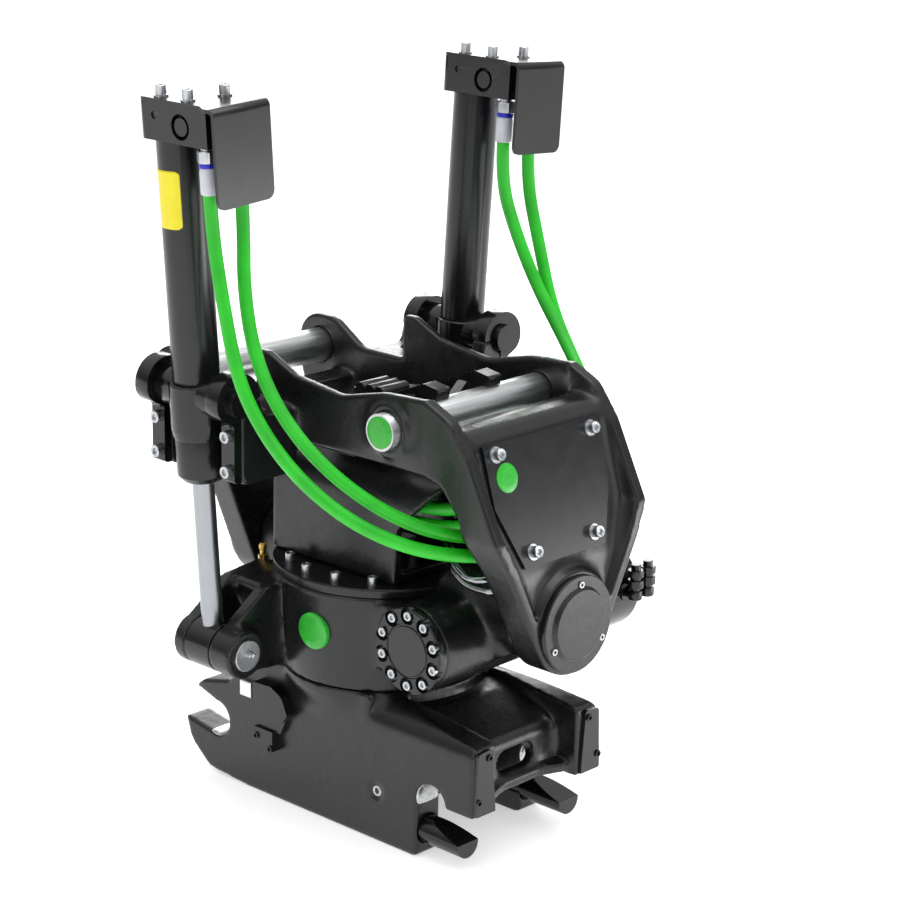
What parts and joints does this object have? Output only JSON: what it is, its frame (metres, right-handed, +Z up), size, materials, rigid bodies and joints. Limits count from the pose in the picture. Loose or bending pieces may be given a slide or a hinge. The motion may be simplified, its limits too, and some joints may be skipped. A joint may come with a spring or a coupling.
{
  "type": "excavator tilt rotator",
  "caption": "Tilt rotator for an excavator: pin bracket on top, tilt cylinders on both sides, worm-driven rotor and a lower quick coupler with sliding lock pins.",
  "frame": {"origin": "under the axis of rotation, on the underside of the lower coupler", "axes": "+X to the capped front end of the tilt axle, +Y to the right cylinder, +Z up"},
  "size_m": [0.682, 0.6646, 1.0422],
  "materials": {
    "black_casting": "satin",
    "black_gloss": "gloss",
    "polished_steel": "gloss",
    "bare_steel": "satin",
    "zinc": "satin",
    "bronze": "satin",
    "green_hose": "satin"
  },
  "bodies": {
    "upper_bracket": {"right_side_plate": "black_casting", "left_side_plate": "black_casting", "front_bearing_plate": "black_casting", "front_cover": "black_casting", "front_cover_bolts": "zinc", "rear_bearing_plate": "black_casting", "tilt_bushes": "bronze", "axle_caps": "black_casting", "front_upper_pin": "polished_steel", "rear_upper_pin": "polished_steel", "right_trunnion_carrier": "black_casting", "left_trunnion_carrier": "black_casting", "right_trunnion_caps": "black_gloss", "left_trunnion_caps": "black_gloss", "trunnion_cap_bolts": "zinc", "coupling_guides": "black_casting", "coupling_block": "black_casting"},
    "rotor_housing_body": {"rotor_housing": "black_casting", "housing_cover": "black_casting", "cover_bolts": "zinc", "swivel_housing": "black_casting", "hydraulic_swivel": "black_casting", "tilt_axles": "bare_steel", "worm_end_cap": "black_casting", "worm_cap_bolts": "zinc", "drive_motor": "black_gloss", "motor_fittings": "zinc", "rod_pins": "bare_steel", "steel_pipes": "polished_steel"},
    "worm": {"worm_shaft": "bare_steel"},
    "lower_coupler": {"coupler_frame": "black_casting", "ring_gear": "bare_steel", "front_face_plates": "black_casting", "lock_cylinder": "black_casting", "side_bolts": "zinc", "latch_blocks": "black_casting"},
    "lock": {"lock_pins": "black_gloss", "lock_yoke": "black_casting"},
    "left_cylinder": {"left_barrel": "black_casting", "left_gland": "black_casting", "left_trunnion_collar": "black_casting", "left_valve_block": "black_gloss", "left_hose_guard": "black_casting", "left_block_screws": "zinc", "left_hose_fittings": "zinc", "left_outer_hose": "green_hose", "left_inner_hose": "green_hose"},
    "left_rod": {"left_piston_rod": "polished_steel"},
    "right_cylinder": {"right_barrel": "black_casting", "right_gland": "black_casting", "right_trunnion_collar": "black_casting", "right_valve_block": "black_gloss", "right_hose_guard": "black_casting", "right_block_screws": "zinc", "right_hose_fittings": "zinc", "right_outer_hose": "green_hose", "right_inner_hose": "green_hose"},
    "right_rod": {"right_piston_rod": "polished_steel"}
  },
  "joints": [
    {"name": "tilt", "type": "hinge", "parent": "upper_bracket", "child": "rotor_housing_body", "pos_m": [0, 0, 0.349], "axis": [1, 0, 0], "range_deg": [-40, 40], "deforming": ["left_outer_hose", "left_inner_hose", "right_outer_hose", "right_inner_hose"]},
    {"name": "rotation", "type": "hinge", "parent": "rotor_housing_body", "child": "lower_coupler", "pos_m": [0, 0, 0.21], "axis": [0, 0, 1], "continuous": true},
    {"name": "worm_drive", "type": "hinge", "parent": "rotor_housing_body", "child": "worm", "pos_m": [0.187, 0, 0.304], "axis": [0, 1, 0], "continuous": true},
    {"name": "lock_slide", "type": "slide", "parent": "lower_coupler", "child": "lock", "axis": [-1, 0, 0], "range_m": [0, 0.06]},
    {"name": "left_swing", "type": "hinge", "parent": "upper_bracket", "child": "left_cylinder", "pos_m": [-0.101, -0.257, 0.625], "axis": [1, 0, 0], "range_deg": [-10, 10]},
    {"name": "left_stroke", "type": "slide", "parent": "left_cylinder", "child": "left_rod", "axis": [0, 0.0683, -0.9977], "range_m": [-0.18, 0.18]},
    {"name": "right_swing", "type": "hinge", "parent": "upper_bracket", "child": "right_cylinder", "pos_m": [-0.101, 0.257, 0.625], "axis": [1, 0, 0], "range_deg": [-10, 10]},
    {"name": "right_stroke", "type": "slide", "parent": "right_cylinder", "child": "right_rod", "axis": [0, -0.0683, -0.9977], "range_m": [-0.18, 0.18]}
  ],
  "couplings": [
    {"joint": "worm_drive", "follows": "rotation", "ratio": 24},
    {"joint": "left_swing", "follows": "tilt", "ratio": 0.19},
    {"joint": "right_swing", "follows": "tilt", "ratio": 0.19},
    {"joint": "left_stroke", "follows": "tilt", "m_per_rad": 0.226},
    {"joint": "right_stroke", "follows": "tilt", "m_per_rad": -0.226}
  ]
}
